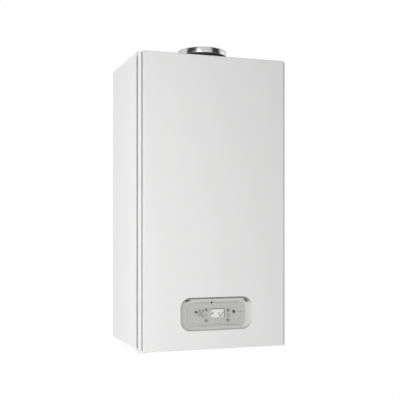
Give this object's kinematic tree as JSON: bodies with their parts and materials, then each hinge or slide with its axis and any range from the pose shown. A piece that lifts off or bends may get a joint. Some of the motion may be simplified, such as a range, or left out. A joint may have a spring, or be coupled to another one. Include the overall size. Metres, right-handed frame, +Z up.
{
  "type": "combi boiler",
  "caption": "Wall-hung condensing combination boiler with a lift-off front cover, control window, coaxial flue collar and pipe tails.",
  "frame": {"origin": "centre of the wall bracket's four screw holes, on the wall plane", "axes": "+Z up, +Y into the wall, +X to the right seen from the front"},
  "size_m": [0.4, 0.325, 0.8205],
  "materials": {
    "white_paint": "white powder coat with a fine orange peel",
    "galvanised": "zinc coated sheet",
    "chrome": "polished",
    "black_rubber": "matt",
    "white_plastic": "moulded",
    "dark_plastic": "moulded",
    "fascia_grey": "satin moulded",
    "button_grey": "moulded",
    "display": "clear window over a pale display",
    "stainless": "pickled stainless sheet",
    "cast_aluminium": "as cast",
    "copper": "drawn tube",
    "brass": "hot stamped",
    "circuit_board": "solder resist",
    "red_plastic": "moulded",
    "blue_plastic": "moulded",
    "vessel_paint": "grey enamel",
    "cable": "braided sleeve"
  },
  "bodies": {
    "chassis": {"left_side_panel": "white_paint", "right_side_panel": "white_paint", "top_panel": "white_paint", "bottom_panel": "white_paint", "back_plate": "galvanised", "wall_bracket": "galvanised", "cover_seal": "black_rubber", "flue_gasket": "black_rubber", "flue_collar": "chrome", "flue_socket": "white_plastic", "expansion_vessel": "vessel_paint", "heat_exchanger": "stainless", "heat_coil": "stainless", "burner_door": "cast_aluminium", "burner": "stainless", "electrodes": "white_plastic", "fan_housing": "cast_aluminium", "fan_motor": "dark_plastic", "mixing_duct": "dark_plastic", "gas_mixer": "cast_aluminium", "air_silencer": "dark_plastic", "exhaust_pipe": "white_plastic", "gas_valve": "cast_aluminium", "gas_pipe": "copper", "plate_heat_exchanger": "stainless", "pump_housing": "brass", "pump_motor": "dark_plastic", "flow_manifold": "brass", "diverter_motor": "dark_plastic", "air_vent": "brass", "flow_sensor": "brass", "flow_pipe": "copper", "return_pipe": "copper", "vessel_pipe": "copper", "tail_pipes": "copper", "union_nuts": "brass", "condensate_trap": "white_plastic", "drain_hose": "white_plastic", "cable_gland": "dark_plastic", "wiring_loom": "cable"},
    "cover": {"front_cover": "white_paint"},
    "control_unit": {"control_box": "dark_plastic", "control_lid": "dark_plastic", "main_board": "circuit_board", "display_board": "circuit_board", "lcd": "display", "fascia": "fascia_grey"},
    "fan_rotor": {"fan_impeller": "dark_plastic"},
    "pump_impeller": {"pump_rotor": "white_plastic"},
    "turbine": {"flow_turbine": "white_plastic"},
    "diverter": {"diverter_spindle": "stainless"},
    "relief_knob": {"safety_knob": "red_plastic"},
    "filling_knob": {"fill_knob": "blue_plastic"},
    "info_key": {"info_button": "button_grey"},
    "power_key": {"power_button": "button_grey"},
    "water_plus_key": {"water_plus_button": "button_grey"},
    "water_minus_key": {"water_minus_button": "button_grey"},
    "heating_plus_key": {"heating_plus_button": "button_grey"},
    "heating_minus_key": {"heating_minus_button": "button_grey"},
    "reset_key": {"reset_button": "button_grey"}
  },
  "joints": [
    {"name": "cover_slide", "type": "slide", "parent": "chassis", "child": "cover", "axis": [0, -1, 0], "range_m": [0, 0.3]},
    {"name": "control_tilt", "type": "hinge", "parent": "chassis", "child": "control_unit", "pos_m": [0, -0.29, -0.696], "axis": [1, 0, 0], "range_deg": [0, 75]},
    {"name": "fan_spin", "type": "hinge", "parent": "chassis", "child": "fan_rotor", "pos_m": [0.128, -0.215, -0.18], "axis": [0, 0, 1], "continuous": true},
    {"name": "pump_spin", "type": "hinge", "parent": "chassis", "child": "pump_impeller", "pos_m": [0.13, -0.1, -0.57], "axis": [0, -1, 0], "continuous": true},
    {"name": "turbine_spin", "type": "hinge", "parent": "chassis", "child": "turbine", "pos_m": [0.065, -0.082, -0.635], "axis": [0, 0, 1], "continuous": true},
    {"name": "diverter_lift", "type": "slide", "parent": "chassis", "child": "diverter", "axis": [0, 0, 1], "range_m": [0, 0.006]},
    {"name": "relief_turn", "type": "hinge", "parent": "chassis", "child": "relief_knob", "pos_m": [0.07, -0.175, -0.544], "axis": [0, -1, 0], "range_deg": [0, 90]},
    {"name": "filling_turn", "type": "hinge", "parent": "chassis", "child": "filling_knob", "pos_m": [0.097, -0.118, -0.73], "axis": [0, 0, 1], "range_deg": [0, 90]},
    {"name": "info_press", "type": "slide", "parent": "control_unit", "child": "info_key", "axis": [0, 1, 0], "range_m": [0, 0.001], "stiffness_N_per_m": 300, "springref_m": -0.001},
    {"name": "power_press", "type": "slide", "parent": "control_unit", "child": "power_key", "axis": [0, 1, 0], "range_m": [0, 0.001], "stiffness_N_per_m": 300, "springref_m": -0.001},
    {"name": "water_plus_press", "type": "slide", "parent": "control_unit", "child": "water_plus_key", "axis": [0, 1, 0], "range_m": [0, 0.001], "stiffness_N_per_m": 300, "springref_m": -0.001},
    {"name": "water_minus_press", "type": "slide", "parent": "control_unit", "child": "water_minus_key", "axis": [0, 1, 0], "range_m": [0, 0.001], "stiffness_N_per_m": 300, "springref_m": -0.001},
    {"name": "heating_plus_press", "type": "slide", "parent": "control_unit", "child": "heating_plus_key", "axis": [0, 1, 0], "range_m": [0, 0.001], "stiffness_N_per_m": 300, "springref_m": -0.001},
    {"name": "heating_minus_press", "type": "slide", "parent": "control_unit", "child": "heating_minus_key", "axis": [0, 1, 0], "range_m": [0, 0.001], "stiffness_N_per_m": 300, "springref_m": -0.001},
    {"name": "reset_press", "type": "slide", "parent": "control_unit", "child": "reset_key", "axis": [0, 1, 0], "range_m": [0, 0.001], "stiffness_N_per_m": 300, "springref_m": -0.001}
  ],
  "couplings": [
    {"joint": "control_tilt", "follows": "cover_slide", "rad_per_m": 4.36}
  ]
}
